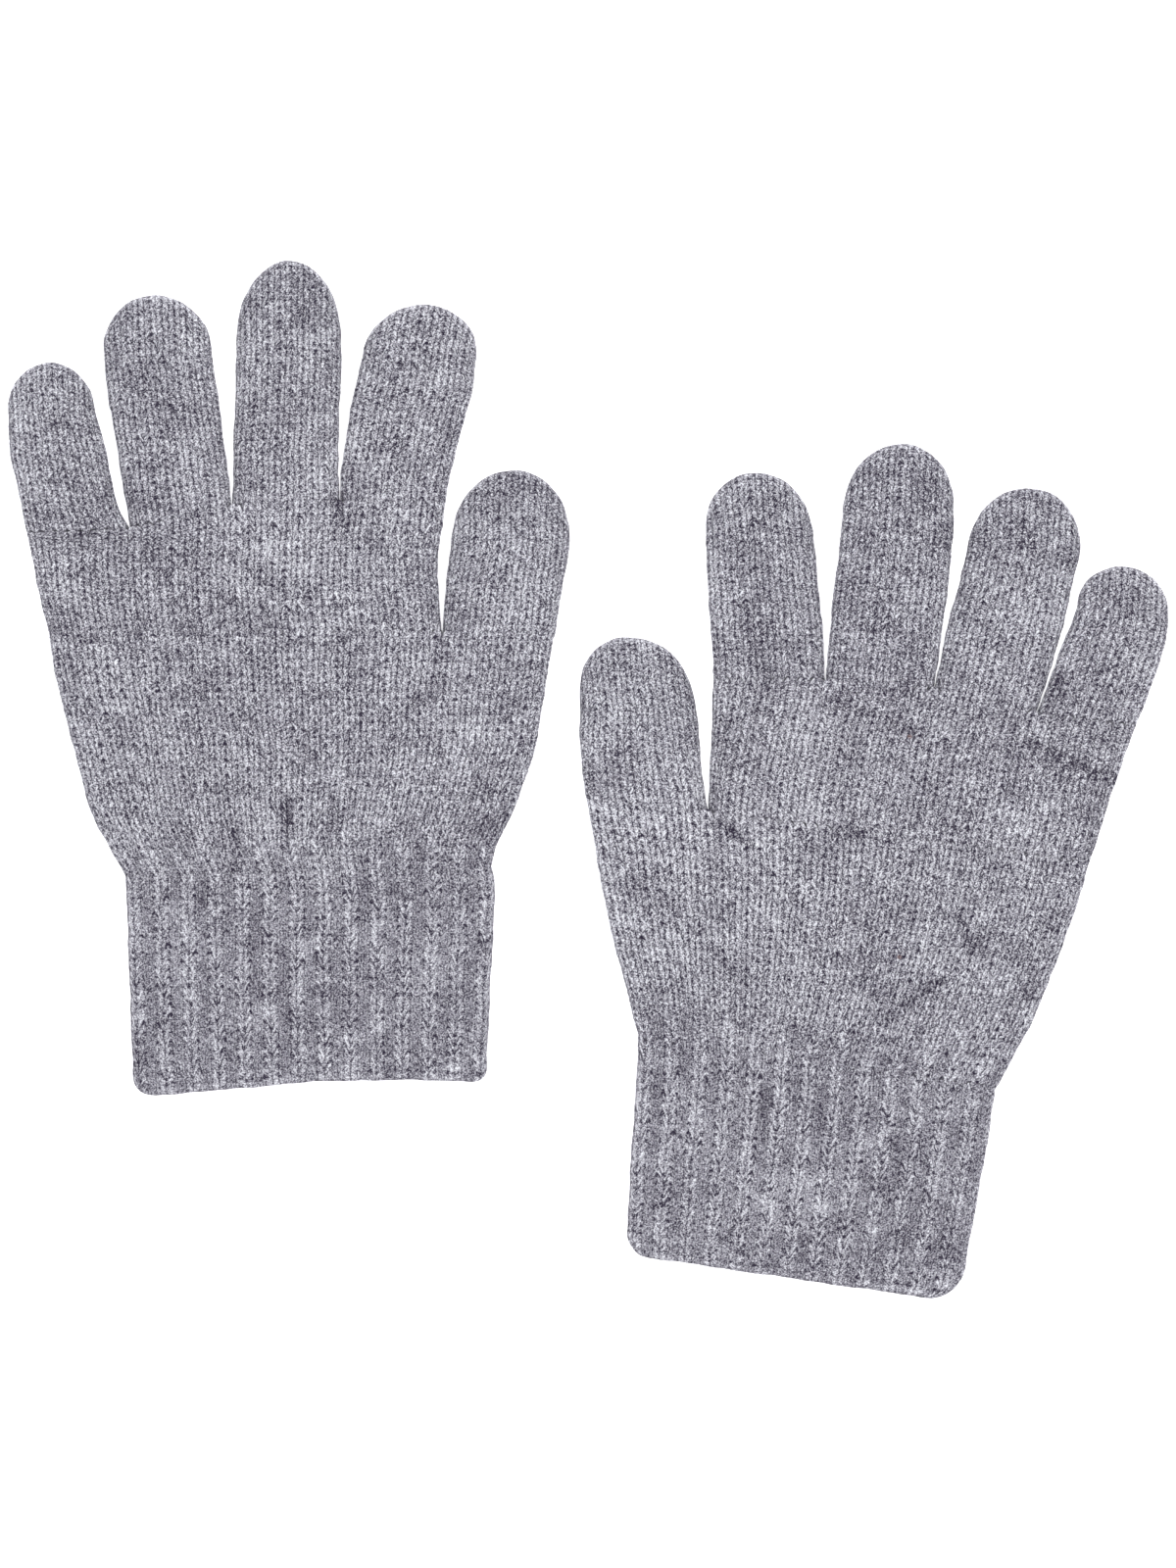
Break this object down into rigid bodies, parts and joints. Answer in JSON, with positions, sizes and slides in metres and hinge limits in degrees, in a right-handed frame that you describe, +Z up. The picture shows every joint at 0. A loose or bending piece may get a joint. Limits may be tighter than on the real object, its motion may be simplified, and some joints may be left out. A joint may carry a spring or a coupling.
{
  "type": "pair of knitted gloves",
  "caption": "Pair of child's five-finger knitted gloves in a grey marled yarn, with ribbed cuffs, laid flat side by side to keep hands warm.",
  "frame": {"origin": "middle of the pair's outline, on the surface that the gloves lie on", "axes": "+X to the right across the pair, +Y toward the fingertips, +Z up from the surface"},
  "size_m": [0.2488, 0.2222, 0.005],
  "materials": {
    "jersey": "soft brushed grey marl, plain knit, matt",
    "rib": "soft brushed grey marl, ribbed knit, matt"
  },
  "bodies": {
    "root": {"left_little_finger": "jersey", "left_ring_finger": "jersey", "left_middle_finger": "jersey", "left_index_finger": "jersey", "left_thumb": "jersey", "left_upper_hand": "jersey", "left_lower_hand": "jersey", "left_cuff": "rib", "right_index_finger": "jersey", "right_middle_finger": "jersey", "right_ring_finger": "jersey", "right_little_finger": "jersey", "right_thumb": "jersey", "right_upper_hand": "jersey", "right_lower_hand": "jersey", "right_cuff": "rib"}
  },
  "joints": []
}
